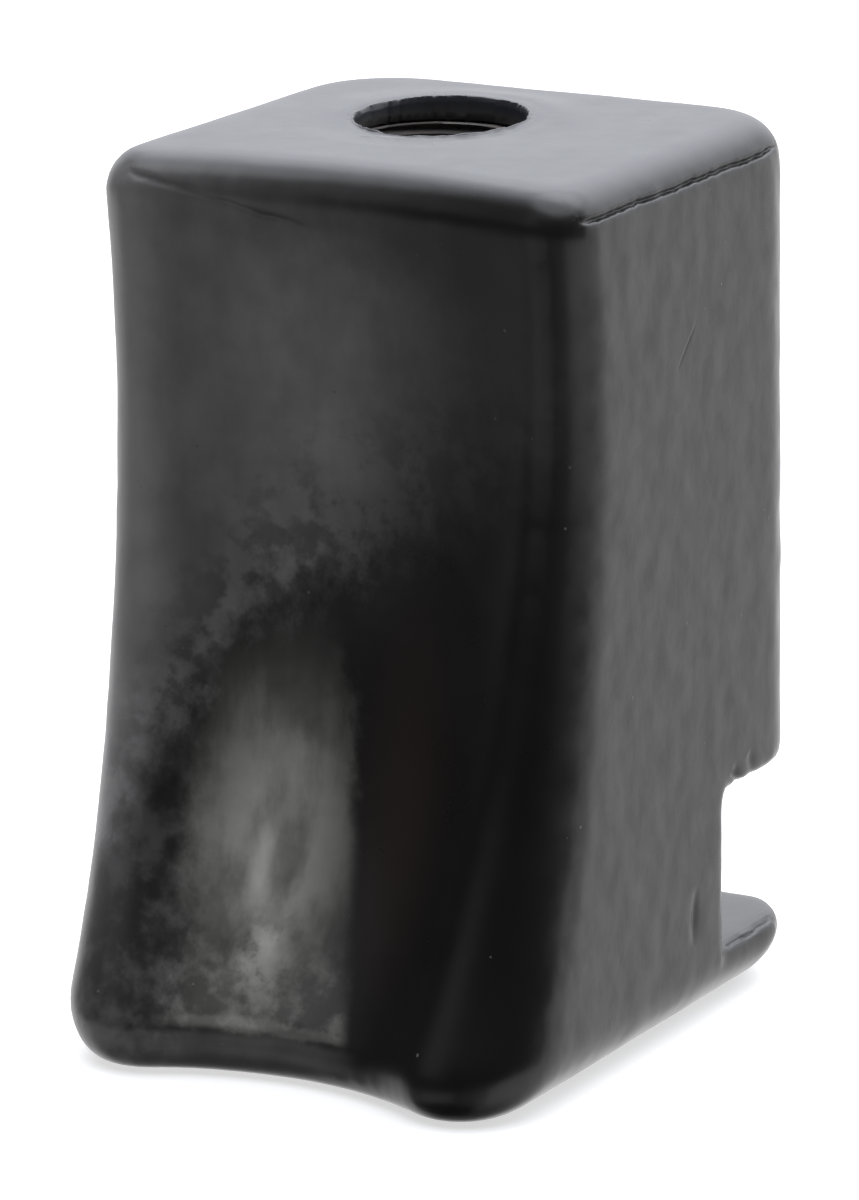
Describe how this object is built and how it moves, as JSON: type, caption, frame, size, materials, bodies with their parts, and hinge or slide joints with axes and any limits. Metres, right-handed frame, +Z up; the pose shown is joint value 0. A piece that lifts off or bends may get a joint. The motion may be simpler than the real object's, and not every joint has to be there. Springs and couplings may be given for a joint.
{
  "type": "rubber bump block",
  "caption": "Upright moulded rubber bump block with a hollow saddle front, a threaded pipe socket in its top and a rear slot above a toe lip.",
  "frame": {"origin": "on the floor under the block, at mid-width and level with the socket's axis in Y", "axes": "+Z up along the height, -Y towards the hollow saddle front, +X to the right seen from the front"},
  "size_m": [0.086, 0.1045, 0.1423],
  "materials": {
    "black_rubber": "satin to glossy moulded skin",
    "blackened_steel": "blackened, lightly oiled",
    "mild_steel": "dull mill finish under bonding primer",
    "weld_metal": "as welded"
  },
  "bodies": {
    "root": {"rubber_body": "black_rubber", "pipe_socket": "blackened_steel", "socket_cap": "mild_steel", "cap_weld": "weld_metal", "spine_plate": "mild_steel", "spine_welds": "weld_metal", "toe_plate": "mild_steel", "toe_weld": "weld_metal"}
  },
  "joints": []
}
